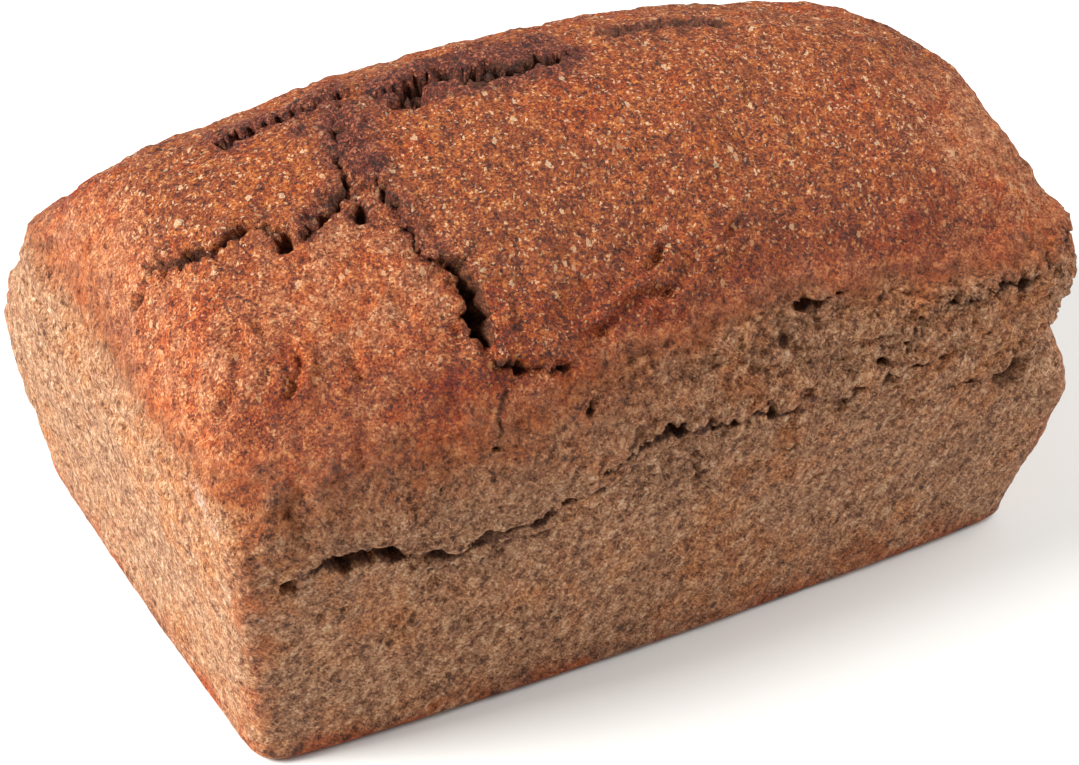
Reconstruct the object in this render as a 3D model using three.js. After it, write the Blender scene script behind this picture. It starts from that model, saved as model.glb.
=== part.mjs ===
// A rye loaf baked in an open tin: one solid of bread.
// The flat bottom and the leaning walls took the shape of the tin. Above the tin the dough
// swelled out over the rim, tore along the rim line and rose into a domed crown.
// X runs along the loaf, Y across it and Z up; the origin is the middle of the flat bottom.
import * as THREE from 'three';
import { mergeVertices } from 'three/addons/utils/BufferGeometryUtils.js';

// Driving dimensions, in millimetres.
const BASE_LENGTH = 200;
const BASE_WIDTH = 116;
const EDGE_ROUND = 2.5;
const RIM_HEIGHT = 49.5;
const CROWN_RISE = 64;
const CROWN_TILT = 2.5;
const CROWN_DROOP = 11;

// How far each end wall and each long wall leans out between the bottom and the rim.
const END_LEAN = 8;
const SIDE_LEAN = 1;

// The middles of the walls bow out this far past their corners.
const END_BOW = 1.3;
const SIDE_BOW = 2.7;

// The tear along the rim: a groove in the wall with the crown's edge hanging out above it.
const TEAR_DEPTH = 2;
const TEAR_HALF_HEIGHT = 3;
const LIP_REACH = 2.4;
const LIP_HEIGHT = 2.5;

// Powers of the superellipses: large is square, 2 is round.
const TIN_CORNER = 17;
const CROWN_CORNER = 2;
const CROWN_ALONG = 7;
const CROWN_ACROSS = 1.66;
const CROWN_UP = 2.3;

// Slow swells of the crown, left by uneven rising.
const SWELL = 1.2;
const SWELL_SPACING = 26;

// The mesh: segments along each axis, and the heights of the rows of points up the walls.
const SEGMENTS_ALONG = 40;
const SEGMENTS_ACROSS = 22;
const WALL_ROWS = [
  0,
  EDGE_ROUND,
  RIM_HEIGHT * 0.3,
  RIM_HEIGHT * 0.6,
  RIM_HEIGHT - 2 * TEAR_HALF_HEIGHT,
  RIM_HEIGHT - TEAR_HALF_HEIGHT,
  RIM_HEIGHT,
  RIM_HEIGHT + LIP_HEIGHT,
];
const CROWN_ROWS = 7;

// The crown's points lie on rays out of a small flat plate inside the loaf.
const PLATE_HEIGHT = RIM_HEIGHT + LIP_HEIGHT;
const PLATE_HALF_LENGTH = 62;
const PLATE_HALF_WIDTH = 12;

const HALF_LENGTH = BASE_LENGTH / 2;
const HALF_WIDTH = BASE_WIDTH / 2;
const RAY_LENGTH = 1.6;
const HALVINGS = 40;

// How far the wall stands out past the bottom outline at a height, for a given lean.
function wallOffset(height, lean) {
  const climb = THREE.MathUtils.clamp(height / RIM_HEIGHT, 0, 1);
  const roundUnder = Math.max(1 - height / EDGE_ROUND, 0);
  const underCut = EDGE_ROUND * (1 - Math.sqrt(1 - roundUnder * roundUnder));
  const groove = TEAR_DEPTH * Math.exp(-(((height - RIM_HEIGHT) / TEAR_HALF_HEIGHT) ** 2));
  const lip = LIP_REACH * THREE.MathUtils.smoothstep(height, RIM_HEIGHT, PLATE_HEIGHT);
  return lean * climb - underCut - groove + lip;
}

// Height of the crown above the rim line at a place along the loaf.
function crownRise(x) {
  const along = x / HALF_LENGTH;
  return CROWN_RISE + CROWN_TILT * along - CROWN_DROOP * along * along;
}

// Below 1 inside the loaf, 1 on its surface and above 1 outside it.
function reach(point) {
  const up = THREE.MathUtils.clamp((point.z - PLATE_HEIGHT) / crownRise(point.x), 0, 1);
  const left = 1 - up ** CROWN_UP;
  const swell = SWELL * up * Math.sin(point.x / SWELL_SPACING) * Math.cos(point.y / SWELL_SPACING);
  const halfLength = HALF_LENGTH + wallOffset(point.z, END_LEAN);
  const halfWidth = HALF_WIDTH + wallOffset(point.z, SIDE_LEAN) + swell;
  const along = Math.abs(point.x) / (halfLength * left ** (1 / CROWN_ALONG));
  const across = Math.abs(point.y) / (halfWidth * left ** (1 / CROWN_ACROSS));
  const bowedAlong = along / (1 + (END_BOW / halfLength) * Math.max(1 - across * across, 0));
  const bowedAcross = across / (1 + (SIDE_BOW / halfWidth) * Math.max(1 - along * along, 0));
  const corner = THREE.MathUtils.lerp(TIN_CORNER, CROWN_CORNER, up);
  return (bowedAlong ** corner + bowedAcross ** corner) ** (1 / corner);
}

// The point where the ray from an inner point through a target leaves the loaf.
function surfacePoint(inner, target) {
  let near = 0;
  let far = RAY_LENGTH;
  const point = new THREE.Vector3();
  for (let step = 0; step < HALVINGS; step += 1) {
    const middle = (near + far) / 2;
    point.lerpVectors(inner, target, middle);
    if (reach(point) < 1) {
      near = middle;
    } else {
      far = middle;
    }
  }
  return point;
}

// Height of a row of the grid: up the wall first, then on to the top of the crown.
function rowHeight(row) {
  if (row < WALL_ROWS.length) {
    return WALL_ROWS[row];
  }
  const crownRow = row - WALL_ROWS.length + 1;
  return PLATE_HEIGHT + (CROWN_RISE * crownRow) / CROWN_ROWS;
}

// Moves a point of the unit box, each coordinate -1 to 1, onto the loaf.
function loafPoint(along, across, row) {
  const height = rowHeight(row);
  const inner = new THREE.Vector3(along * PLATE_HALF_LENGTH, across * PLATE_HALF_WIDTH, height);
  inner.z = Math.min(height, PLATE_HEIGHT);
  const target = new THREE.Vector3(along * HALF_LENGTH, across * HALF_WIDTH, height);
  return surfacePoint(inner, target);
}

// A point of the flat bottom: the bottom outline drawn in towards the middle.
function bottomPoint(along, across) {
  const ring = Math.max(Math.abs(along), Math.abs(across));
  if (ring === 0) {
    return new THREE.Vector3();
  }
  return loafPoint(along / ring, across / ring, 0).multiplyScalar(ring);
}

function loafGeometry() {
  const rows = WALL_ROWS.length - 1 + CROWN_ROWS;
  const box = new THREE.BoxGeometry(2, 2, 2, SEGMENTS_ALONG, SEGMENTS_ACROSS, rows);
  box.deleteAttribute('normal');
  box.deleteAttribute('uv');
  const geometry = mergeVertices(box);
  const position = geometry.attributes.position;
  const corner = new THREE.Vector3();
  for (let index = 0; index < position.count; index += 1) {
    corner.fromBufferAttribute(position, index);
    const row = Math.round(((corner.z + 1) / 2) * rows);
    const point = row === 0 ? bottomPoint(corner.x, corner.y) : loafPoint(corner.x, corner.y, row);
    position.setXYZ(index, point.x, point.y, point.z);
  }
  geometry.computeVertexNormals();
  return geometry;
}

// The crust: reddish brown and dull.
const crust = new THREE.MeshStandardMaterial({ color: '#9a6238', roughness: 0.85, metalness: 0 });

const loaf = new THREE.Mesh(loafGeometry(), crust);
loaf.name = 'loaf';

const ryeLoaf = new THREE.Group();
ryeLoaf.add(loaf);

export default ryeLoaf;
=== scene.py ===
import math

import bpy
import numpy as np
from mathutils import Matrix, Vector


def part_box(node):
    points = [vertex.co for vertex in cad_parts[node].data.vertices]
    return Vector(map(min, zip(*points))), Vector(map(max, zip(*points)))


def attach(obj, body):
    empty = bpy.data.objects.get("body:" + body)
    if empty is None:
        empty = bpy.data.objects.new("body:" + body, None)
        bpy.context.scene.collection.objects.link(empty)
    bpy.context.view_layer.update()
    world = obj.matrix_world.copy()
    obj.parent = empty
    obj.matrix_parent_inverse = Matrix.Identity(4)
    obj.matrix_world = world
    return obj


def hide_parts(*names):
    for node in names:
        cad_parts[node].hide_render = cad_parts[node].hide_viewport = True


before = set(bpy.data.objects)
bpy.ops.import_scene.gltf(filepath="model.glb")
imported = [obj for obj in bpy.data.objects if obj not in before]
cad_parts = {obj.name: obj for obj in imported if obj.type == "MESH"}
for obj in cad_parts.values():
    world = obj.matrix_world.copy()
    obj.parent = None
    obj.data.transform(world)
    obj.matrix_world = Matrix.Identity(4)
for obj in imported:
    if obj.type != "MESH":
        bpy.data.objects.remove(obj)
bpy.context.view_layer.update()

# The tin-shaped body: rye dough that took the shape of an open tin as it baked.
# The tin gave the flat bottom, the leaning walls and their sharp corners; above the rim
# the dough swelled out into a dome. Lengths are in millimetres until the mesh is made.
MM = 0.001
low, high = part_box("loaf")
CROWN_OVERHANG = 12.3
SIDE_OVERHANG = 7.4
HALF_LENGTH = (high.x - low.x) / MM / 2 - CROWN_OVERHANG
HALF_WIDTH = (high.y - low.y) / MM / 2 - SIDE_OVERHANG
EDGE_ROUND = 2.5
RIM_HEIGHT = 49.5
LIP_HEIGHT = 2.5
LIP_REACH = 1.5
PLATE_HEIGHT = RIM_HEIGHT + LIP_HEIGHT
CROWN_CLEARANCE = 0.9
CROWN_RISE = high.z / MM - PLATE_HEIGHT - CROWN_CLEARANCE
CROWN_TILT = 2.5
CROWN_DROOP = 11.0
END_LEAN = 8.0
SIDE_LEAN = 2.0
END_BOW = 1.3
SIDE_BOW = 2.7

# Powers of the rounded outlines: large is square, 2 is round.
TIN_CORNER = 28.0
CROWN_CORNER = 2.0
CROWN_ALONG = 7.0
CROWN_ACROSS = 1.75
CROWN_UP = 2.3

# The mesh's points lie on rays out of a small flat plate inside the loaf.
PLATE_HALF_LENGTH = 62.0
PLATE_HALF_WIDTH = 12.0
RAY_LENGTH = 1.7
HALVINGS = 26

# The mesh's points lie closest together towards the front left and along the rim. Stops along
# and across run from -1 to 1, and heights are in millimetres.
ALONG_STOPS = (-1.0, 0.25, 1.0)
ALONG_SPACINGS = (0.0062, 0.0085)
ACROSS_STOPS = (-1.0, 0.5, 1.0)
ACROSS_SPACINGS = (0.0135, 0.02)
HEIGHT_STOPS = (0.0, 42.0, 80.0, PLATE_HEIGHT + CROWN_RISE)
HEIGHT_SPACINGS = (0.9, 0.45, 0.8)
MOST_PLACES = 4096


def smooth_step(value, start, end):
    part = np.clip((value - start) / (end - start), 0, 1)
    return part * part * (3 - 2 * part)


def wall_offset(height, lean):
    """How far the wall stands out past the bottom outline at a height."""
    round_under = np.clip(1 - height / EDGE_ROUND, 0, 1)
    under_cut = EDGE_ROUND * (1 - np.sqrt(1 - round_under**2))
    lip = LIP_REACH * smooth_step(height, RIM_HEIGHT, RIM_HEIGHT + 4 * LIP_HEIGHT)
    return lean * np.clip(height / RIM_HEIGHT, 0, 1) - under_cut + lip


def reach(points):
    """Below 1 inside the smooth loaf, 1 on its surface, above 1 outside it."""
    x, y, z = points.T
    along_share = x / HALF_LENGTH
    rise = CROWN_RISE + CROWN_TILT * along_share - CROWN_DROOP * along_share**2
    up = np.clip((z - PLATE_HEIGHT) / rise, 0, 1)
    left = np.maximum(1 - up**CROWN_UP, 1e-40)
    half_length = HALF_LENGTH + wall_offset(z, END_LEAN)
    half_width = HALF_WIDTH + wall_offset(z, SIDE_LEAN)
    along = np.abs(x) / (half_length * left ** (1 / CROWN_ALONG))
    across = np.abs(y) / (half_width * left ** (1 / CROWN_ACROSS))
    bowed_along = along / (1 + END_BOW / half_length * np.maximum(1 - across**2, 0))
    bowed_across = across / (1 + SIDE_BOW / half_width * np.maximum(1 - along**2, 0))
    corner = TIN_CORNER + (CROWN_CORNER - TIN_CORNER) * up
    return (bowed_along**corner + bowed_across**corner) ** (1 / corner)


def onto_loaf(inner, target):
    """Where the ray from each inner point through its target leaves the smooth loaf."""
    near = np.zeros(len(inner))
    far = np.full(len(inner), RAY_LENGTH)
    for _ in range(HALVINGS):
        middle = (near + far) / 2
        inside = reach(inner + middle[:, None] * (target - inner)) < 1
        near = np.where(inside, middle, near)
        far = np.where(inside, far, middle)
    return inner + near[:, None] * (target - inner)


def box_grid(counts):
    """The corners of a closed box of squares, as whole-number places, and its squares."""
    sheets = []
    squares = []
    start = 0
    for axis in range(3):
        first, second = (axis + 1) % 3, (axis + 2) % 3
        for end in (0, 1):
            u, v = np.meshgrid(np.arange(counts[first] + 1), np.arange(counts[second] + 1), indexing="ij")
            places = np.zeros(u.shape + (3,), np.int64)
            places[..., first] = u
            places[..., second] = v
            places[..., axis] = end * counts[axis]
            index = np.arange(u.size).reshape(u.shape) + start
            ring = [index[:-1, :-1], index[1:, :-1], index[1:, 1:], index[:-1, 1:]]
            square = np.stack(ring, -1).reshape(-1, 4)
            squares.append(square if end else square[:, ::-1])
            sheets.append(places.reshape(-1, 3))
            start += u.size
    every = np.concatenate(sheets)
    keys = (every[:, 0] * MOST_PLACES + every[:, 1]) * MOST_PLACES + every[:, 2]
    _, first_use, where = np.unique(keys, return_index=True, return_inverse=True)
    return every[first_use], where[np.concatenate(squares)]


def graded(stops, spacings, coarseness):
    """Places along an axis; each stretch between two stops has its own spacing."""
    stretches = []
    for start, end, spacing in zip(stops, stops[1:], spacings):
        count = max(round((end - start) / (spacing * coarseness)), 1)
        stretches.append(start + (end - start) * np.arange(count) / count)
    return np.append(np.concatenate(stretches), stops[-1])


def tin_loaf(coarseness):
    """Points and squares of the smooth loaf, closest together where the crust is torn."""
    along = graded(ALONG_STOPS, ALONG_SPACINGS, coarseness)
    across = graded(ACROSS_STOPS, ACROSS_SPACINGS, coarseness)
    heights = graded(HEIGHT_STOPS, HEIGHT_SPACINGS, coarseness)
    counts = np.array([len(along), len(across), len(heights)]) - 1
    places, squares = box_grid(counts)
    plan = np.column_stack([along[places[:, 0]], across[places[:, 1]]])
    height = heights[places[:, 2]]
    under = places[:, 2] == 0
    ring = np.where(under, np.maximum(np.abs(plan).max(1), 1e-6), 1)
    plan = plan / ring[:, None]
    inner_plan = plan * [PLATE_HALF_LENGTH, PLATE_HALF_WIDTH]
    inner = np.column_stack([inner_plan, np.minimum(height, PLATE_HEIGHT)])
    target = np.column_stack([plan * [HALF_LENGTH, HALF_WIDTH], height])
    points = onto_loaf(inner, target)
    points[:, :2] *= ring[:, None]
    return points, squares


def normals_of(points, squares):
    """The outward unit normal at each point of the mesh."""
    corners = points[squares]
    crosses = np.cross(corners[:, 2] - corners[:, 0], corners[:, 3] - corners[:, 1])
    total = np.zeros_like(points)
    for axis in range(3):
        weight = np.repeat(crosses[:, axis], 4)
        total[:, axis] = np.bincount(squares.ravel(), weight, len(points))
    return total / np.maximum(np.linalg.norm(total, axis=1), 1e-12)[:, None]


# The unevenness of dough: lumps of every size, from the swell of the loaf down to single grains.
# It is worked out from repeatable noise, so the loaf is the same each time.
def scatter(cells, seed):
    """A fixed random number from -1 to 1 for each whole-number place, by mixing up its bits."""
    mixed = cells[:, 0] * 374761393 + cells[:, 1] * 668265263 + cells[:, 2] * 1442695041
    mixed = (mixed + seed * 974634777) & 0xFFFFFFFF
    mixed = ((mixed ^ (mixed >> 13)) * 1274126177) & 0xFFFFFFFF
    mixed = ((mixed ^ (mixed >> 15)) * 739982445) & 0xFFFFFFFF
    return (mixed ^ (mixed >> 16)) / 2147483647.5 - 1


def lumps(points, size, seed, octaves=1):
    """Smooth noise from about -1 to 1; size is the width of a lump, one number or one per axis."""
    total = np.zeros(len(points))
    for octave in range(octaves):
        scaled = points / np.asarray(size) * 2**octave + 13.7 * octave
        cell = np.floor(scaled).astype(np.int64)
        part = scaled - cell
        part = part**3 * (part * (part * 6 - 15) + 10)
        for corner in range(8):
            step = np.array([corner & 1, corner >> 1 & 1, corner >> 2])
            weight = np.prod(np.where(step, part, 1 - part), axis=1)
            total += weight * scatter(cell + step, seed + octave) / 2**octave
    return total


# The tears: where the crust had set before the dough stopped rising, it cracked open.
# Each tear is a line of a few places on the loaf; noise makes its edges ragged.
RAY_START = (0.62, 0.2, 1.0)


def soft(distance, width=1.0):
    """1 where the distance is 0, falling off smoothly to almost nothing at twice the width."""
    return np.exp(-((distance / width) ** 2))


def taper(share, steepness, power=1.0):
    """1 along most of a line, going down to 0 at its two ends."""
    return np.clip(np.minimum(share, 1 - share) * steepness, 0, 1) ** power


def tear_line(places, step=3.0):
    """A smooth line on the loaf through a few places near its surface."""
    places = np.array(places, float)
    inner = places * RAY_START
    inner[:, 2] = np.minimum(places[:, 2], PLATE_HEIGHT)
    knots = onto_loaf(inner, places)
    padded = np.vstack([2 * knots[0] - knots[1], knots, 2 * knots[-1] - knots[-2]])
    line = []
    for before, start, end, after in zip(padded, padded[1:], padded[2:], padded[3:]):
        count = max(int(np.linalg.norm(end - start) / step), 1)
        for t in np.arange(count) / count:
            curve = 2 * start + (end - before) * t
            curve = curve + (2 * before - 5 * start + 4 * end - after) * t**2
            line.append((curve + (3 * start - before - 3 * end + after) * t**3) / 2)
    return np.array(line + [knots[-1]])


def beside_line(points, normals, line, width):
    """Near the line: which points, how far off, how far along (0 to 1), and the signed side."""
    box_low, box_high = line.min(0) - width, line.max(0) + width
    near = np.flatnonzero(((points > box_low) & (points < box_high)).all(1))
    spot = points[near]
    best = np.full(len(near), 1e9)
    share = np.zeros(len(near))
    side = np.zeros(len(near))
    lengths = np.linalg.norm(np.diff(line, axis=0), axis=1)
    covered = np.concatenate([[0], np.cumsum(lengths)])
    for index, (start, end) in enumerate(zip(line, line[1:])):
        run = end - start
        t = np.clip((spot - start) @ run / (run @ run), 0, 1)
        offset = spot - start - t[:, None] * run
        gap = np.linalg.norm(offset, axis=1)
        closer = gap < best
        best = np.where(closer, gap, best)
        share = np.where(closer, (covered[index] + t * lengths[index]) / covered[-1], share)
        facing = np.einsum("ij,ij->i", offset, np.cross(normals[near], run))
        side = np.where(closer, np.sign(facing) * gap, side)
    keep = best < width
    return near[keep], best[keep], share[keep], side[keep]


class Dough:
    """The loaf's points as they are torn and dented; each is more or less hollow, scorched and so on."""

    def __init__(self, points, squares):
        self.smooth = points
        self.squares = squares
        self.normals = normals_of(points, squares)
        self.shift = np.zeros_like(points)
        self.hollow = np.zeros(len(points))
        self.scorch = np.zeros(len(points))
        self.crag = np.zeros(len(points))
        self.flour = np.zeros(len(points))
        ragged = [lumps(points, 6.5, 11 + k, 3) for k in range(3)]
        self.ragged = points + 1.6 * np.column_stack(ragged)

    def lift(self, where, amount):
        """Moves some points outward along their normals."""
        self.shift[where] += amount[:, None] * self.normals[where]

    def spread(self, mask, where, amount):
        """Raises a mask to at least the given amount at some points."""
        mask[where] = np.maximum(mask[where], amount)

    def crack(self, places, width, depth, lip=0.6, step=0.0, scorch=0.0, trough=0.0):
        """A ragged slit in the crust; with a trough it lies in a wider, craggy, burnt hollow."""
        line = tear_line(places)
        where, off, share, side = beside_line(self.ragged, self.normals, line, 20.0)
        ends = taper(share, 7, 0.6)
        spot = self.smooth[where]
        wander = np.clip(0.85 + 0.55 * lumps(spot, 8.0, 31, 3), 0.12, 1.7)
        half = np.maximum(width / 2 * ends * wander, 0.05)
        floor = 1 - smooth_step(off, half * 0.5, half + 0.4)
        crumb = 1 + 0.35 * lumps(spot, 2.4, 37, 3)
        self.lift(where, -depth * ends * floor * np.clip(wander, 0.3, 1.2) * crumb)
        wide = soft(off, half + 2.2) * ends
        self.lift(where, -trough * wide)
        rim = soft(off - half - 1.6, 1.8) * (off > half)
        self.lift(where, lip * ends * rim * (1 + 0.8 * lumps(spot, 3.5, 39, 2)))
        fall = np.exp(-np.abs(side) / 8.0) * np.sign(side) * smooth_step(np.abs(side), 0.0, 0.7)
        self.lift(where, step * ends * fall)
        # The slit's floor goes into the hollow mask, which the material paints dark as shade.
        self.spread(self.hollow, where, ends * (1 - smooth_step(off, half, half + 1.0)))
        self.spread(self.crag, where, trough * wide)
        burnt = soft(off, width / 2 + 3.5) + 0.5 * soft(off, 9.0)
        self.spread(self.scorch, where, 0.8 * scorch * burnt * ends)

    def ledge(self, places, gape, depth, overhang, swell=1.0, scorch=0.0, crag=0.5):
        """A tear whose far side hangs over a ragged hollow. The far side is up on a wall."""
        line = tear_line(places)
        where, off, share, side = beside_line(self.ragged, self.normals, line, 18.0)
        ends = taper(share, 8, 0.7)
        spot = self.smooth[where]
        gap = gape(share) * ends * np.clip(1 + 0.4 * lumps(spot, 5.0, 43, 3), 0.3, 2) + 0.05
        inside = smooth_step(side, -gap - 0.8, -gap + 0.6) * (1 - smooth_step(side, -0.3, 0.3))
        crumb = 1 + 0.4 * lumps(spot, 2.2, 45, 3)
        self.lift(where, -depth(share) * ends * inside * crumb)
        torn_edge = np.exp(-np.maximum(-side - gap, 0) / 1.6) * (side < -gap)
        self.lift(where, 0.6 * ends * torn_edge * (0.4 + lumps(spot, 2.6, 47, 2)))
        above = np.exp(-np.maximum(side, 0) / 6.0) * smooth_step(side, -0.3, 0.3)
        self.lift(where, swell * ends * above * (1 + 0.5 * lumps(spot, 4.0, 49, 2)))
        run = line[-1] - line[0]
        across = np.cross(self.normals[where], run / np.linalg.norm(run))
        hang = overhang * ends * above * np.exp(-np.maximum(side, 0) / 3.0)
        self.shift[where] -= hang[:, None] * across
        # Under the hanging side the hollow mask is raised, which the material paints dark as shade.
        shade_under_lip = smooth_step(side, -gap - 1.3, -gap - 0.3) * (1 - smooth_step(side, 0.0, 0.6))
        self.spread(self.hollow, where, shade_under_lip * ends * np.clip(depth(share) / 3, 0, 1))
        self.spread(self.crag, where, crag * ends * soft(off, 4.5))
        burnt = 0.8 * soft(off, gape(share) + 3.5) + 0.6 * soft(off, 11.0)
        self.spread(self.scorch, where, 0.8 * scorch * burnt * ends)

    def fold(self, places, width, depth):
        """A soft crease where the dough folded without tearing."""
        where, off, share, _ = beside_line(self.ragged, self.normals, tear_line(places), 5 * width)
        ends = taper(share, 4)
        groove = soft(off, width) - 0.5 * soft(off - 2.2 * width, width)
        self.lift(where, -depth * ends * groove * (1 + 0.4 * lumps(self.smooth[where], 4.0, 51, 2)))

    def spot(self, place, radius):
        """The points near a place, and how far off each is as a share of the radius."""
        centre = tear_line([place, np.array(place) + [0.5, 0, 0]])[0]
        off = np.linalg.norm(self.ragged - centre, axis=1)
        where = np.flatnonzero(off < radius * 2.5)
        return where, off[where] / radius

    def hole(self, place, radius, depth, scorch=0.0):
        """A blister or pit in the crust."""
        where, off = self.spot(place, radius)
        bowl = 1 - smooth_step(off, 0.5, 1.1)
        self.lift(where, -depth * bowl * (1 + 0.4 * lumps(self.smooth[where], 2.0, 53, 2)))
        # The pit's bowl goes into the hollow mask, which the material paints dark as shade.
        self.spread(self.hollow, where, bowl)
        self.spread(self.scorch, where, scorch * soft(off, 1.5))

    def bulge(self, place, radius, height, scorch=0.0):
        """A soft swelling, or with a negative height a soft hollow."""
        where, off = self.spot(place, radius)
        self.lift(where, height * soft(off))
        self.spread(self.scorch, where, scorch * soft(off))
        self.spread(self.crag, where, scorch * soft(off))

    def points(self):
        """Where the points are now; none goes below the flat bottom."""
        moved = self.smooth + self.shift
        moved[:, 2] = np.maximum(moved[:, 2], 0)
        return moved


dough = Dough(*tin_loaf(1.0))
x, y, z = dough.smooth.T

# The swell of the whole loaf: slow lumps, stronger on the crown than where the tin held it.
CROWN_LUMPS = 1.1
WALL_LUMPS = 0.45
INWARD = 0.4
crown_share = smooth_step(z, RIM_HEIGHT - 5, RIM_HEIGHT + 25)
off_floor = smooth_step(z, 0.0, 4.0)
swell = (WALL_LUMPS + (CROWN_LUMPS - WALL_LUMPS) * crown_share) * lumps(dough.smooth, 34.0, 3, 3)
dough.shift += (swell * off_floor - INWARD * off_floor)[:, None] * dough.normals

# The crown rose a little more along its middle and at its right end, and less between them; the
# left end sagged against the tin's back corner, and the front right corner caved in at the rim.
dough.bulge((-12, 22, 114), 34, 1.3)
dough.bulge((72, 22, 107), 22, -3.4)
dough.bulge((100, 6, 96), 14, 3.4)
dough.bulge((93, -9, 100), 10, 1.6)
dough.bulge((-107, 57, 38), 24, 3.8)
dough.bulge((-106, 57, 62), 7, -5.5)
dough.bulge((-98, 50, 80), 12, -2.8)
dough.bulge((107, -42, 86), 11, -1.6)
dough.bulge((106, -57, 56), 9.5, -9.0)
dough.bulge((105, -56, 41), 8, 2.8)
dough.bulge((102, -56, 26), 13, 2.6)

# The ridge tear along the top: the crust split lengthwise, and its craggy edges burnt dark.
# It starts as a thin ledge at the left, opens wide at the top and closes to a fine crack.
dough.ledge(
    [(-81, 21, 101), (-75, 21, 104), (-63, 20, 109), (-51, 20, 111), (-45, 17, 113)],
    gape=lambda s: 1.0 + 1.6 * s, depth=lambda s: 2.0 + 1.8 * s,
    overhang=1.4, swell=1.3, scorch=0.9, crag=1.0,
)
dough.ledge(
    [(-48, 14, 113), (-39, 10, 114), (-30, 9, 115), (-21, 6, 116), (-13, 7, 116), (-4, 5, 116), (4, 9, 116)],
    gape=lambda s: 4.2 - 1.4 * s, depth=lambda s: 4.0 - 1.6 * s,
    overhang=0.7, swell=1.6, scorch=1.3, crag=1.5,
)
dough.crack([(8, 10, 116), (24, 10, 116), (44, 5, 114)], 1.0, 1.0, step=0.6, scorch=0.55, trough=0.4)
dough.hole((-40, 4, 114), 4.0, 9.0, scorch=0.8)
dough.hole((-28, 8, 115), 3.2, 4.5, scorch=1.1)
dough.hole((-19, 7, 115), 3.0, 4.0, scorch=1.1)
dough.hole((-9, 6, 115), 2.8, 3.4, scorch=1.1)
dough.bulge((-34, 14, 114), 6, 0.8, scorch=1.1)
dough.bulge((-20, 12, 115), 7, 0.7, scorch=1.3)
dough.bulge((-6, 11, 115), 6, 0.7, scorch=1.3)

# The crack that runs from the ridge to a burnt knot, where it forks to the left end and the front.
dough.crack([(-50, 16, 112), (-55, 7, 111), (-58, -3, 110), (-60, -10, 108)], 2.0, 2.8,
            step=0.6, scorch=1.0, trough=1.5)
dough.bulge((-52, 2, 111), 5, 0.8, scorch=1.1)
dough.bulge((-57, -11, 108), 4.5, 1.8, scorch=1.2)
dough.bulge((-62, 9, 110), 4, 0.7, scorch=1.0)
dough.hole((-64, -19, 106), 2.6, 3.0, scorch=1.1)
dough.hole((-71, -16, 105), 2.2, 3.0, scorch=0.8)
dough.crack([(-60, -10, 108), (-68, -14, 105), (-77, -18, 102)], 1.8, 2.8, step=-1.0, scorch=0.6, trough=1.6)
dough.hole((-79, -17, 102), 2.4, 4.2, scorch=0.5)
dough.hole((-84, -10, 100), 2.2, 2.4, scorch=0.3)
dough.hole((-91, -7, 97), 2.0, 2.4, scorch=0.3)
dough.crack([(-76, -17, 102), (-83, -10, 100), (-89, -8, 97), (-97, -4, 93), (-104, 0, 86)], 0.8, 1.0,
            step=-0.6, scorch=0.3, trough=1.6)
dough.hole((-98, -3, 91), 1.8, 2.0, scorch=0.3)
dough.hole((-104, -1, 86), 2.0, 3.0, scorch=0.3)
dough.crack([(-57, -13, 107), (-55, -22, 105), (-53, -30, 101), (-49, -35, 98)], 1.4, 2.6,
            step=1.3, scorch=0.6, trough=1.6)
dough.crack([(-51, -32, 99), (-48, -38, 96), (-48, -45, 91), (-50, -51, 86)], 3.4, 9.0,
            step=1.2, scorch=0.3, trough=1.1)
dough.crack([(-50, -51, 86), (-44, -54, 85), (-38, -56, 83), (-31, -56, 84)], 1.2, 2.2, step=0.8, trough=0.8)
dough.hole((-43, -54, 85), 1.6, 3.0)
dough.hole((-38, -56, 83), 1.6, 3.0)
dough.crack([(-49, -57, 82), (-50, -60, 78), (-51, -61, 74)], 1.0, 1.5, lip=0.3)

# Creases pressed into the front slope of the crown, where it folded without opening.
dough.fold([(-44, -54, 84), (-36, -55, 84), (-26, -54, 87), (-16, -52, 91), (-6, -50, 94), (4, -47, 97)],
           1.5, 1.4)
dough.fold([(-14, -48, 95), (-9, -46, 97), (-4, -44, 99)], 0.9, 1.0)
dough.fold([(2, -44, 98), (9, -46, 97), (16, -45, 97)], 0.9, 0.9)
dough.fold([(-97, -28, 94), (-95, -34, 90), (-99, -38, 84), (-103, -41, 78)], 1.3, 1.6)
dough.fold([(-89, -36, 94), (-89, -42, 90), (-92, -48, 83)], 1.2, 1.4)
dough.fold([(-92, -30, 95), (-91, -36, 92)], 1.0, 1.0)
dough.fold([(-78, -42, 93), (-77, -49, 87)], 1.2, 1.0)
dough.fold([(-72, -24, 104), (-66, -33, 100), (-64, -42, 94)], 1.8, 0.9)
dough.fold([(-97, -58, 77), (-97, -60, 67), (-96, -61, 58)], 2.0, 1.5)

# The long tear down the front wall, just above where the tin's rim was. At the left it gapes.
dough.ledge(
    [(-95, -60, 50.5), (-90, -61, 57), (-84, -62, 57), (-78, -63, 56), (-75, -63, 54), (-73, -63, 50),
     (-69, -63, 50)],
    gape=lambda s: 0.9 + 4.8 * np.exp(-(((s - 0.55) / 0.26) ** 4)),
    depth=lambda s: 2.0 + 9.0 * np.exp(-(((s - 0.5) / 0.26) ** 4)),
    overhang=0.1, swell=0.2,
)
dough.hole((-95.5, -60, 50), 2.0, 3.5)
dough.ledge(
    [(-71, -63, 49), (-64, -63, 49.5), (-57, -63, 49.5), (-49, -63, 50.5), (-42, -63, 52), (-33, -63, 54.5),
     (-24, -63, 55.5), (-14, -63, 58.5)],
    gape=lambda s: 1.5 + 0.2 * s, depth=lambda s: 2.6 + 0 * s, overhang=0.6, swell=1.0,
)
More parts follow.
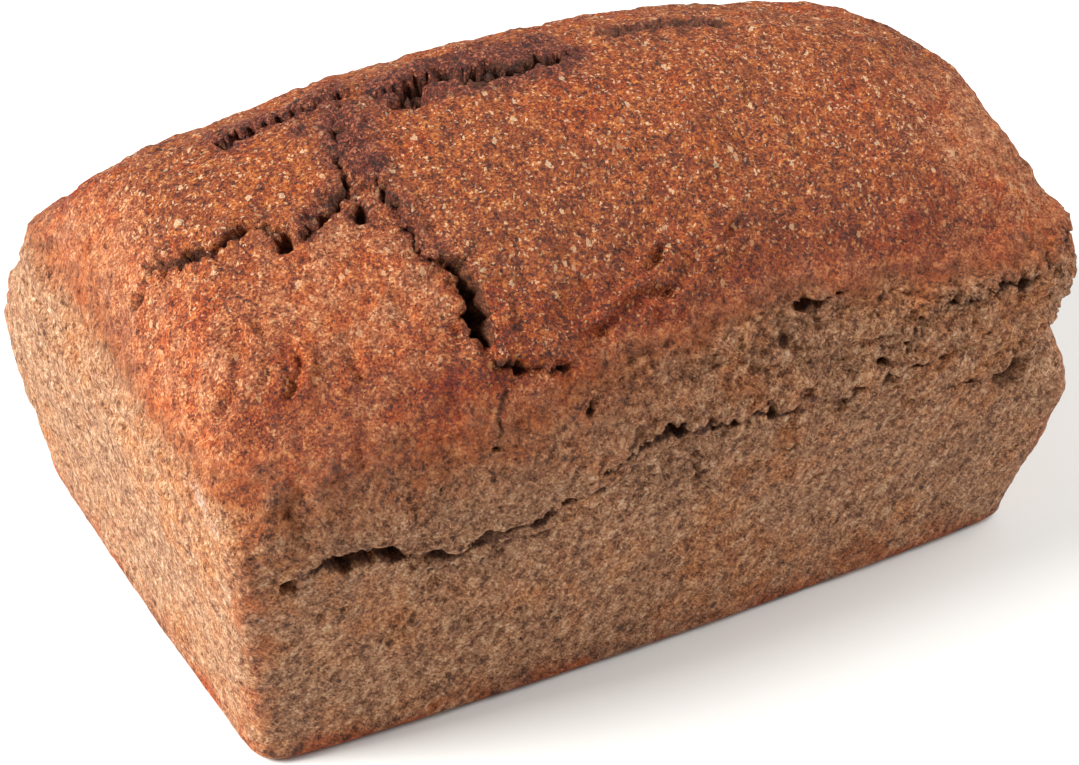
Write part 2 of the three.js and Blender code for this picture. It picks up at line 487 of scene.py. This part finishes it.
dough.ledge(
    [(-33, -62, 58), (-24, -62, 60), (-13, -62, 65), (0, -62, 63.5), (12, -62, 63), (21, -62, 62.5),
     (27, -62, 66)],
    gape=lambda s: 1.2 + 1.4 * s, depth=lambda s: 2.4 + 2.2 * s, overhang=1.4, swell=1.6, crag=1.0,
)
dough.ledge(
    [(-72, -62, 47), (-64, -62, 46.5), (-56, -62, 44.5), (-46, -62, 47), (-36, -62, 48), (-22, -62, 51)],
    gape=lambda s: 1.0 - 0.2 * s, depth=lambda s: 2.2 - 0.8 * s, overhang=0.6, swell=0.7,
)
dough.ledge(
    [(-12, -62, 52), (-3, -62, 53), (2, -62, 45), (9, -62, 43.5), (17, -62, 48), (30, -62, 50)],
    gape=lambda s: 1.0 + 0 * s, depth=lambda s: 2.0 + 0 * s, overhang=0.9, swell=1.0, crag=0.8,
)
dough.ledge(
    [(46, -60, 69), (54, -60, 73), (61, -60, 76), (68, -59, 74), (80, -57, 75), (90, -56, 75), (99, -54, 78),
     (107, -45, 78), (108, -30, 75)],
    gape=lambda s: 1.4 + 1.2 * s, depth=lambda s: 2.6 + 2.0 * s, overhang=1.6, swell=1.5, crag=1.0,
)
dough.ledge(
    [(22, -60, 84), (29, -60, 86), (40, -59, 86)],
    gape=lambda s: 1.2 - 0.4 * s, depth=lambda s: 2.4 - s, overhang=0.8,
)
dough.ledge(
    [(50, -62, 47), (58, -62, 50), (68, -62, 52), (76, -62, 51), (84, -61, 54), (94, -59, 57), (104, -54, 58),
     (108, -46, 59)],
    gape=lambda s: 1.0 + 2.2 * s, depth=lambda s: 2.0 + 2.8 * s, overhang=1.0, crag=1.0,
)
dough.ledge(
    [(30, -62, 56), (42, -62, 60), (54, -62, 63), (68, -61, 65)],
    gape=lambda s: 0.8 + 0.4 * s, depth=lambda s: 1.6 + 0 * s, overhang=0.8, crag=1.0,
)
dough.hole((87, -60, 48), 6.0, 5.5)
dough.hole((19, -61, 77), 2.6, 1.6)
dough.hole((44, -61, 66), 1.9, 3.2)
dough.hole((52, -62, 68), 1.4, 2.0)
dough.hole((33, -62, 36), 1.5, 1.6)
dough.hole((-30, -62, 75), 2.4, 2.4)
dough.hole((-51, -61, 73), 1.3, 2.0)
dough.bulge((-82, -62, 70), 12, 1.2)
dough.fold([(-62, -62, 44), (-67, -62, 35), (-77, -61, 22)], 0.8, 1.4)
dough.fold([(-44, -62, 42), (-52, -62, 32), (-60, -62, 20)], 1.1, 0.8)
dough.fold([(20, -62, 40), (2, -62, 31), (-16, -62, 24)], 1.3, 0.7)

# The back and right walls tore too, in shorter runs.
dough.ledge(
    [(90, 60, 66), (50, 62, 61), (15, 63, 57), (-20, 63, 60), (-60, 63, 58), (-92, 61, 54)],
    gape=lambda s: 2.6 - 1.6 * s, depth=lambda s: 4.4 - 2.2 * s, overhang=1.2,
)
dough.ledge(
    [(108, -40, 69), (109, -20, 64), (109, 5, 61), (109, 30, 62), (105, 52, 66)],
    gape=lambda s: 1.2 + 1.2 * np.exp(-s * 5), depth=lambda s: 2.6 + 2.0 * np.exp(-s * 5),
    overhang=1.1,
)

# A soft fold, not a tear, crosses the left end at the rim; a streak of flour lies above it.
dough.fold([(-104, 50, 62), (-108, 30, 60), (-109, 0, 59), (-109, -30, 58), (-106, -52, 57)], 2.2, 1.6)
flour_streak = tear_line([(-108, -42, 66), (-108, -49, 62)])
near, off, _, _ = beside_line(dough.ragged, dough.normals, flour_streak, 4.0)
dough.spread(dough.flour, near, soft(off, 1.3))
near, off = dough.spot((103, -33, 90), 3.0)
dough.spread(dough.flour, near, 0.6 * soft(off))

# How baked each point is: the crown above a wavy line, half of it down to the rim tear, and the
# tin's edges and corners, where the dough browned against the metal.
FRONT_BAKE_HEIGHT = 75
END_BAKE_HEIGHT = 72
front_line = FRONT_BAKE_HEIGHT + 11 * soft(x - 14, 72) + 3.5 * lumps(dough.smooth, 22.0, 55, 3)
end_face = smooth_step(np.abs(dough.normals[:, 0]), 0.45, 0.9)
bake_line = front_line + (END_BAKE_HEIGHT - front_line) * end_face
half_baked = (0.36 - 0.28 * smooth_step(x, -50.0, 30.0)) * (1 - 0.7 * end_face)
half_baked *= smooth_step(z, 48.0, bake_line)
bake = half_baked + (1 - half_baked) * smooth_step(z, bake_line - 8, bake_line + 8)
bake *= 1 - 0.22 * smooth_step(np.abs(x), 90.0, 106.0)

# Three places on the crown stayed paler.
for pale_place, pale_radius, paleness in (
    ((-76, -40, 96), 27, 0.36),
    ((-109, 18, 78), 20, 0.42),
    ((92, -36, 92), 26, 0.45),
):
    near, off = dough.spot(pale_place, pale_radius)
    bake[near] *= 1 - paleness * soft(off)

# The lower edge of the crown browned to a deeper orange brown.
browned = soft(z - bake_line - 4, 8) * (1 - 0.8 * end_face)
browned *= np.clip(0.8 + 0.4 * lumps(dough.smooth, 14.0, 99, 3), 0.2, 1)
browned *= 1 + 0.3 * smooth_step(-x, 20.0, 55.0) - 0.7 * smooth_step(x, 72.0, 98.0)

# The tin's bottom edge and upright corners toasted against the metal.
inset_x = HALF_LENGTH + wall_offset(z, END_LEAN) - np.abs(x)
inset_y = HALF_WIDTH + wall_offset(z, SIDE_LEAN) - np.abs(y)
toast = soft(np.hypot(inset_x, inset_y), 7) * (0.5 + 0.25 * lumps(dough.smooth, 9.0, 57, 2))
toast = np.clip(np.maximum(toast, np.exp(-z / 5.0) * (0.9 + 0.6 * lumps(dough.smooth, 8.0, 59, 2))), 0, 1)

# Texture of the surfaces: torn crumb above the rim tear, pits in the walls, grit on the crust.
torn = smooth_step(z, 46.0, 56.0) * (1 - smooth_step(z, bake_line - 6, bake_line + 3)) * (1 - 0.6 * end_face)
torn_more = torn * (0.35 + 0.65 * smooth_step(x, -40.0, 0.0))


def ridges(size, seed):
    """Sharp-crested noise from about -0.6 to 0.4."""
    return 0.4 - np.abs(lumps(dough.ragged, size, seed, 3))


wall_pits = np.maximum(-ridges((2.6, 2.6, 1.8), 71) - 0.45, 0) * 1.8
crumb_pits = np.maximum(lumps(dough.ragged, (3.0, 3.0, 1.8), 83, 3) - 0.45, 0) * 1.7
unbaked = np.clip(1 - bake, 0, 1) * off_floor
texture = 0.18 * lumps(dough.smooth, 1.7, 91, 2) + 0.42 * lumps(dough.smooth, (8.0, 8.0, 5.0), 95, 3)
texture += torn_more * (1.2 * ridges((9.0, 9.0, 2.6), 61) + 0.8 * ridges((3.2, 3.2, 1.6), 63))
texture += dough.crag * (1.9 * ridges(3.0, 65) + 0.3)
texture += 0.35 * bake * lumps(dough.ragged, 3.0, 97, 3)
texture -= unbaked * (wall_pits + torn_more * crumb_pits)
# The crumb pits in the tears go into the hollow mask too, for painted shade.
dough.hollow = np.maximum(dough.hollow, np.clip(torn_more * crumb_pits, 0, 0.35))
rough_normals = normals_of(dough.points(), dough.squares)
dough.shift += (texture * off_floor)[:, None] * rough_normals

# The finished mesh: one closed skin, with how baked, scorched and hollow each point is.
# Flat and smooth stretches keep few faces, so the faces go where the tears and pores are.
MOST_TRIANGLES = 190000
loaf_points = dough.points()


def squeezed(values, start, end):
    """Leaves values up to start alone and squeezes larger ones, so that none passes end."""
    over = np.maximum(np.abs(values) - start, 0)
    inner = np.minimum(np.abs(values), start)
    return np.sign(values) * (inner + (end - start) * np.tanh(over / (end - start)))


SQUEEZED_FROM = (107.0, 60.0, 113.0)
SQUEEZED_TO = (-low.x / MM - 0.2, high.y / MM - 0.2, high.z / MM - 0.1)
for axis in range(3):
    loaf_points[:, axis] = squeezed(loaf_points[:, axis], SQUEEZED_FROM[axis], SQUEEZED_TO[axis])
loaf_mesh = bpy.data.meshes.new("baked_loaf")
loaf_mesh.from_pydata((loaf_points * MM).tolist(), [], dough.squares.tolist())
masks = {
    "bake": bake,
    "browned": browned,
    "pale": end_face * (1 - bake),
    "scorch": np.clip(dough.scorch, 0, 1),
    # hollow: how deep in a crack, tear or pit each point lies; the material paints it as shade.
    "hollow": np.clip(dough.hollow, 0, 1),
    "toast": toast,
    "flour": np.clip(dough.flour, 0, 1),
}
for mask_name, values in masks.items():
    layer = loaf_mesh.attributes.new(mask_name, "FLOAT", "POINT")
    layer.data.foreach_set("value", values.astype(np.float32))
loaf_mesh.update()
baked_loaf = bpy.data.objects.new("baked_loaf", loaf_mesh)
bpy.context.scene.collection.objects.link(baked_loaf)
triangles = 2 * len(dough.squares)
if triangles > MOST_TRIANGLES:
    thin = baked_loaf.modifiers.new("thin", "DECIMATE")
    thin.ratio = MOST_TRIANGLES / triangles
    graph = bpy.context.evaluated_depsgraph_get()
    shown = baked_loaf.evaluated_get(graph)
    thinned = bpy.data.meshes.new_from_object(shown, preserve_all_data_layers=True, depsgraph=graph)
    thinned.name = "thinned_loaf"
    baked_loaf.modifiers.clear()
    baked_loaf.data = thinned
baked_loaf.data.shade_smooth()


# The look of the crust: coarse rye meal baked into a gritty skin, reddish brown on the crown
# with tan bran chips and dark gaps, going over to paler, pitted bread where the tin covered it.
# The gaps, pits, cracks and tears are darkened partly as painted shade.
def colour(code):
    """A linear colour from a six-figure web colour."""
    parts = [int(code[k : k + 2], 16) / 255 for k in (0, 2, 4)]
    return [((part + 0.055) / 1.055) ** 2.4 if part > 0.04 else part / 12.92 for part in parts] + [1]


crust_look = bpy.data.materials.new("rye_crust")
crust_look.use_nodes = True
tree = crust_look.node_tree
shader = tree.nodes["Principled BSDF"]
place = tree.nodes.new("ShaderNodeTexCoord").outputs["Object"]


def join(value, socket):
    """Links a node's output to a socket, or sets the socket to a plain value."""
    if isinstance(value, bpy.types.NodeSocket):
        tree.links.new(value, socket)
    else:
        socket.default_value = value


def mask(name):
    """One of the values stored with the loaf's points."""
    node = tree.nodes.new("ShaderNodeAttribute")
    node.attribute_name = name
    return node.outputs["Fac"]


def maths(operation, first, second=0.0):
    """The result of one sum with two values."""
    node = tree.nodes.new("ShaderNodeMath")
    node.operation = operation
    join(first, node.inputs[0])
    join(second, node.inputs[1])
    return node.outputs[0]


def mixture(*parts):
    """The sum of several values, each times its weight; parts holds pairs of value and weight."""
    total = maths("MULTIPLY", *parts[0])
    for value, weight in parts[1:]:
        total = maths("ADD", total, maths("MULTIPLY", value, weight))
    return total


def turned_place(where, turn, stretch):
    """Coordinates turned by three angles in degrees, then stretched along one axis."""
    node = tree.nodes.new("ShaderNodeMapping")
    node.vector_type = "TEXTURE"
    join(where, node.inputs["Vector"])
    node.inputs["Rotation"].default_value = [math.radians(angle) for angle in turn]
    node.inputs["Scale"].default_value = [stretch, 1, 1]
    return node.outputs["Vector"]


def noise(size_mm, detail=4.0, roughness=0.6, where=place):
    """Cloudy noise from 0 to 1 with lumps of about that size."""
    node = tree.nodes.new("ShaderNodeTexNoise")
    join(where, node.inputs["Vector"])
    node.inputs["Scale"].default_value = 1000 / size_mm
    node.inputs["Detail"].default_value = detail
    node.inputs["Roughness"].default_value = roughness
    return node.outputs["Fac"]


def steps(value, start, end, low_value=0.0, high_value=1.0):
    """Maps start..end smoothly to low_value..high_value."""
    node = tree.nodes.new("ShaderNodeMapRange")
    node.interpolation_type = "SMOOTHSTEP"
    join(value, node.inputs["Value"])
    node.inputs["From Min"].default_value = start
    node.inputs["From Max"].default_value = end
    node.inputs["To Min"].default_value = low_value
    node.inputs["To Max"].default_value = high_value
    return node.outputs["Result"]


def blend(share, first, second, how="MIX"):
    """Goes from the first colour to the second as the share goes from 0 to 1."""
    node = tree.nodes.new("ShaderNodeMix")
    node.data_type = "RGBA"
    node.blend_type = how
    join(share, node.inputs["Factor"])
    join(first, node.inputs["A"])
    join(second, node.inputs["B"])
    return node.outputs["Result"]


def ramp(value, stops):
    """A colour picked by a value; each stop pairs a value from 0 to 1 with a web colour."""
    node = tree.nodes.new("ShaderNodeValToRGB")
    join(value, node.inputs["Fac"])
    marks = node.color_ramp.elements
    marks[0].position = stops[0][0]
    marks[0].color = colour(stops[0][1])
    marks[1].position = stops[-1][0]
    marks[1].color = colour(stops[-1][1])
    for at, code in stops[1:-1]:
        marks.new(at).color = colour(code)
    return node.outputs["Color"]


def shaken_place(size_mm, amount_mm):
    """The loaf's own coordinates, shaken about so that grains get ragged outlines."""
    shake = tree.nodes.new("ShaderNodeTexNoise")
    join(place, shake.inputs["Vector"])
    shake.inputs["Scale"].default_value = 1000 / size_mm
    shake.inputs["Detail"].default_value = 2.0
    moved = tree.nodes.new("ShaderNodeVectorMath")
    moved.operation = "MULTIPLY_ADD"
    join(shake.outputs["Color"], moved.inputs[0])
    moved.inputs[1].default_value = [amount_mm / 1000] * 3
    join(place, moved.inputs[2])
    return moved.outputs[0]


shaken = shaken_place(0.6, 0.8)


def grains(size_mm, turn=(0, 0, 0), stretch=1.0):
    """Two random values, each the same all over one small angular grain."""
    cells = tree.nodes.new("ShaderNodeTexVoronoi")
    join(turned_place(shaken, turn, stretch), cells.inputs["Vector"])
    cells.inputs["Scale"].default_value = 1000 / size_mm
    values = tree.nodes.new("ShaderNodeSeparateColor")
    join(cells.outputs["Color"], values.inputs["Color"])
    return values.outputs[0], values.outputs[1]


def tinted(share, base, tint):
    """Shades a colour with a tint, as far as the share says."""
    return blend(share, base, blend(1.0, base, colour(tint), "MULTIPLY"))


baked = mask("bake")
scorched = mask("scorch")
hollow = mask("hollow")
toasted = mask("toast")
broad = noise(24, 3)
patchy = noise(6, 5, 0.62)
cloudy = noise(2.2, 4, 0.62)
grit = noise(0.55, 3, 0.7)
meal, meal_too = grains(0.45)
meal_long, meal_long_too = grains(0.42, (25, 40, 15), 2.3)
kernel, kernel_too = grains(0.95, (70, -20, 80), 1.5)

# Crown: dark gaps, red brown meal, tan and whitish chips of bran that lie every way. The tone comes from the
# same noises as the fine relief, so the gaps and dips are darker: partly the meal's own colour, partly
# painted shade.
crust_tone_and_shade = mixture((meal, 0.27), (meal_long, 0.27), (kernel, 0.20), (grit, 0.58), (cloudy, 0.50))
crust_tone_and_shade = maths("SUBTRACT", crust_tone_and_shade, 0.41)
dark_crust = ramp(crust_tone_and_shade, [
    (0.12, "270c06"), (0.31, "5c2610"), (0.45, "8a3d18"),
    (0.59, "b05722"), (0.75, "c87e3a"), (0.95, "eab472"),
])
pale_crust = ramp(crust_tone_and_shade, [
    (0.12, "4a1e10"), (0.31, "8c4829"), (0.45, "b86f47"),
    (0.59, "d69468"), (0.75, "efbd90"), (0.95, "ffe6c4"),
])
crust_colour = blend(steps(mixture((baked, 1.0), (patchy, 0.4)), 1.15, 0.72), dark_crust, pale_crust)
orange = maths("MULTIPLY", steps(broad, 0.40, 0.64), steps(patchy, 0.35, 0.65))
crust_colour = tinted(maths("MULTIPLY", orange, 0.75), crust_colour, "ffcc70")
dusky = steps(mixture((broad, 0.5), (patchy, 0.5)), 0.50, 0.32)
crust_colour = tinted(maths("MULTIPLY", dusky, 0.55), crust_colour, "bc9ca4")
chip = maths("MAXIMUM", meal_long, grains(0.42, (-40, 60, 130), 2.6)[0])
chip = maths("MAXIMUM", chip, grains(0.42, (80, 10, 60), 2.6)[0])
chip_share = maths("MULTIPLY", steps(chip, 0.97, 0.985), steps(cloudy, 0.35, 0.6, 0.2, 0.8))
flake_share = maths("MULTIPLY", steps(kernel_too, 0.985, 0.99), 0.7)
crust_colour = blend(maths("MAXIMUM", chip_share, flake_share), crust_colour, colour("ecc49a"))

# Walls: greyer tan bread with small ragged pits and warmer patches; the two ends are paler. The tone comes
# from the same noises as the fine relief, so dips are darker, partly the crumb's own colour and partly
# painted shade.
crumb = noise(1.5, 6, 0.72, turned_place(shaken, (20, -60, 10), 1.9))
wall_tone_and_shade = mixture((meal_too, 0.12), (meal_long_too, 0.22), (kernel_too, 0.10), (grit, 0.45), (cloudy, 0.55),
                    (crumb, 0.95))
wall_tone_and_shade = maths("SUBTRACT", wall_tone_and_shade, 0.725)
END_PALENESS = 0.05
wall_tone_and_shade = maths("ADD", wall_tone_and_shade, maths("MULTIPLY", mask("pale"), END_PALENESS))
wall_colour = ramp(wall_tone_and_shade, [
    (0.15, "3e1f0e"), (0.33, "815032"), (0.46, "b97e56"),
    (0.57, "d39b71"), (0.71, "efc69f"), (0.90, "ffeed6"),
])
warm = maths("MULTIPLY", steps(broad, 0.42, 0.66), steps(patchy, 0.3, 0.65))
wall_colour = tinted(maths("MULTIPLY", warm, 0.7), wall_colour, "ffd8a0")
grey = steps(mixture((broad, 0.4), (patchy, 0.6)), 0.52, 0.36)
wall_colour = tinted(maths("MULTIPLY", grey, 0.6), wall_colour, "cdc2ba")
# The pits are darkened as painted shade; the same pit mask lowers the fine relief below.
pit = steps(mixture((cloudy, 0.5), (crumb, 0.5), (noise(1.3, 3, 0.6), 0.4)), 0.60, 0.52)
wall_colour = blend(maths("MULTIPLY", pit, 0.7), wall_colour, colour("5c3218"))
toast_share = steps(mixture((toasted, 1.0), (patchy, 0.7)), 0.45, 1.25)
wall_colour = tinted(toast_share, wall_colour, "eca664")

# Between the two a half baked band darkens the walls; its edges are ragged.
ragged_bake = mixture((baked, 1.0), (patchy, 0.5), (cloudy, 0.3))
half_baked_colour = tinted(steps(ragged_bake, 0.40, 0.85), wall_colour, "e0ae7c")
bake_share = steps(ragged_bake, 0.60, 1.20)
base = blend(bake_share, half_baked_colour, crust_colour)
boundary = maths("MULTIPLY", steps(baked, 0.2, 0.6), steps(baked, 1.0, 0.7))
base = tinted(maths("MULTIPLY", boundary, steps(patchy, 0.3, 0.7, 0.1, 0.5)), base, "f2bc80")
base = tinted(maths("MULTIPLY", mask("browned"), steps(patchy, 0.2, 0.5, 0.7, 1.0)), base, "dcb280")

# Burnt and torn places: almost black red in the cracks, where the crust burnt. Raw brown crumb lies in the
# tears; inside the cracks, tears and pits it is darkened to almost black as painted shade where the hollow
# mask is high.
scorch_share = steps(mixture((scorched, 1.0), (patchy, 1.0), (cloudy, 0.6)), 1.0, 1.75, 0, 0.92)
scorch_colour = ramp(crust_tone_and_shade, [(0.25, "1c0806"), (0.46, "50190f"), (0.62, "823822"), (0.85, "c0805f")])
base = blend(scorch_share, base, scorch_colour)
hollow_shade_share = steps(mixture((hollow, 1.0), (cloudy, 0.5)), 0.5, 1.1, 0, 0.85)
hollow_shade_colour = ramp(wall_tone_and_shade, [(0.25, "1f0c05"), (0.5, "542812"), (0.8, "935a35")])
base = blend(hollow_shade_share, base, hollow_shade_colour)
burnt_spots = steps(mixture((patchy, 0.6), (cloudy, 0.4)), 0.43, 0.35)
burnt_edge = maths("MULTIPLY", steps(toasted, 0.55, 0.9), burnt_spots)
base = blend(maths("MULTIPLY", burnt_edge, 0.8), base, colour("3e1c12"))
flour_share = maths("MULTIPLY", mask("flour"), steps(grit, 0.42, 0.55))
base = blend(maths("MULTIPLY", flour_share, 0.75), base, colour("f4ece2"))
join(base, shader.inputs["Base Color"])
join(steps(grit, 0.3, 0.7, 0.55, 0.8), shader.inputs["Roughness"])
shader.inputs["Specular IOR Level"].default_value = 0.4

# Fine relief: single grains stand out, and raw crumb and pits are rougher than crust.
RELIEF_STRENGTH = 0.85
RELIEF_HEIGHT = 1.6 * MM
relief = mixture((meal, 0.16), (meal_long, 0.20), (kernel, 0.14), (grit, 0.6), (cloudy, 0.7))
raw_share = maths("SUBTRACT", 1.0, bake_share)
relief = maths("ADD", relief, maths("MULTIPLY", raw_share, maths("MULTIPLY", crumb, 1.5)))
relief = maths("SUBTRACT", relief, maths("MULTIPLY", pit, 0.5))
bump = tree.nodes.new("ShaderNodeBump")
bump.inputs["Strength"].default_value = RELIEF_STRENGTH
bump.inputs["Distance"].default_value = RELIEF_HEIGHT
join(relief, bump.inputs["Height"])
join(bump.outputs["Normal"], shader.inputs["Normal"])

baked_loaf.data.materials.append(crust_look)
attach(baked_loaf, "root")
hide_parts("loaf")

# The studio: a plain pale floor under the loaf, one large soft light from the left,
# a weaker one from the right, and an even surround that gives a little light from all sides.
# Lengths are in metres from here on.
FLOOR_SIZE = 3.0
FLOOR_GAP = 0.0002
PALE_GREY = 0.86
SURROUND_STRENGTH = 0.23
floor_mesh = bpy.data.meshes.new("floor")
half = FLOOR_SIZE / 2
floor_corners = [(-half, -half, 0), (half, -half, 0), (half, half, 0), (-half, half, 0)]
floor_mesh.from_pydata(floor_corners, [], [(0, 1, 2, 3)])
floor = bpy.data.objects.new("floor", floor_mesh)
floor.location.z = low.z - FLOOR_GAP
bpy.context.scene.collection.objects.link(floor)
floor_look = bpy.data.materials.new("pale_floor")
floor_look.use_nodes = True
floor_shader = floor_look.node_tree.nodes["Principled BSDF"]
floor_shader.inputs["Base Color"].default_value = (PALE_GREY, PALE_GREY, 0.85, 1)
floor_shader.inputs["Roughness"].default_value = 0.9
floor_mesh.materials.append(floor_look)

centre = (low + high) / 2


def direction(azimuth, elevation):
    """The way from the loaf to a thing, from angles in degrees; azimuth 0 is straight in front."""
    turn, rise = math.radians(azimuth), math.radians(elevation)
    return Vector((math.sin(turn) * math.cos(rise), -math.cos(turn) * math.cos(rise), math.sin(rise)))


def soft_light(name, azimuth, elevation, distance, size, power, tint):
    """A square area light that looks at the middle of the loaf."""
    lamp = bpy.data.lights.new(name, "AREA")
    lamp.size = size
    lamp.energy = power
    lamp.color = tint
    away = direction(azimuth, elevation)
    holder = bpy.data.objects.new(name, lamp)
    holder.location = centre + away * distance
    holder.rotation_euler = away.to_track_quat("Z", "Y").to_euler()
    bpy.context.scene.collection.objects.link(holder)


soft_light("key", azimuth=-105, elevation=31, distance=2.2, size=0.9, power=98, tint=(1.0, 1.0, 0.97))
soft_light("fill", azimuth=68, elevation=44, distance=0.7, size=0.6, power=4.7, tint=(1.0, 0.99, 0.97))
surround = bpy.data.worlds.new("surround")
surround.use_nodes = True
surround_tree = surround.node_tree
glow = surround_tree.nodes["Background"]
glow.inputs["Color"].default_value = (1, 1, 1, 1)
glow.inputs["Strength"].default_value = SURROUND_STRENGTH

# Where the camera looks past the floor it sees a plain pale backdrop.
backdrop = surround_tree.nodes.new("ShaderNodeBackground")
backdrop.inputs["Color"].default_value = (PALE_GREY, PALE_GREY, PALE_GREY, 1)
seen = surround_tree.nodes.new("ShaderNodeMixShader")
ray_kind = surround_tree.nodes.new("ShaderNodeLightPath")
surround_tree.links.new(ray_kind.outputs["Is Camera Ray"], seen.inputs[0])
surround_tree.links.new(glow.outputs[0], seen.inputs[1])
surround_tree.links.new(backdrop.outputs[0], seen.inputs[2])
surround_tree.links.new(seen.outputs[0], surround_tree.nodes["World Output"].inputs["Surface"])
bpy.context.scene.world = surround
bpy.context.scene.view_settings.view_transform = "Standard"

# The camera looks from the front left and above, with a slight roll. It aims a little left of,
# in front of and below the loaf's middle, so that the loaf fills the frame.
CAMERA_AZIMUTH = -34.8
CAMERA_ELEVATION = 35.9
CAMERA_ROLL = 6.4
CAMERA_DISTANCE = 0.576
CAMERA_LENS = 85.9
AIM_OFFSET = Vector((-0.0085, -0.009, -0.0180))
backward = direction(CAMERA_AZIMUTH, CAMERA_ELEVATION)
turn = math.radians(CAMERA_AZIMUTH)
level_right = Vector((math.cos(turn), math.sin(turn), 0))
upright = backward.cross(level_right)
camera_data = bpy.data.cameras.new("camera")
camera_data.lens = CAMERA_LENS
camera = bpy.data.objects.new("camera", camera_data)
level = Matrix((level_right, upright, backward)).transposed()
tilt = Matrix.Rotation(math.radians(CAMERA_ROLL), 3, "Z")
camera_place = Matrix.Translation(centre + AIM_OFFSET + backward * CAMERA_DISTANCE)
camera.matrix_world = camera_place @ (level @ tilt).to_4x4()
bpy.context.scene.collection.objects.link(camera)
bpy.context.scene.camera = camera
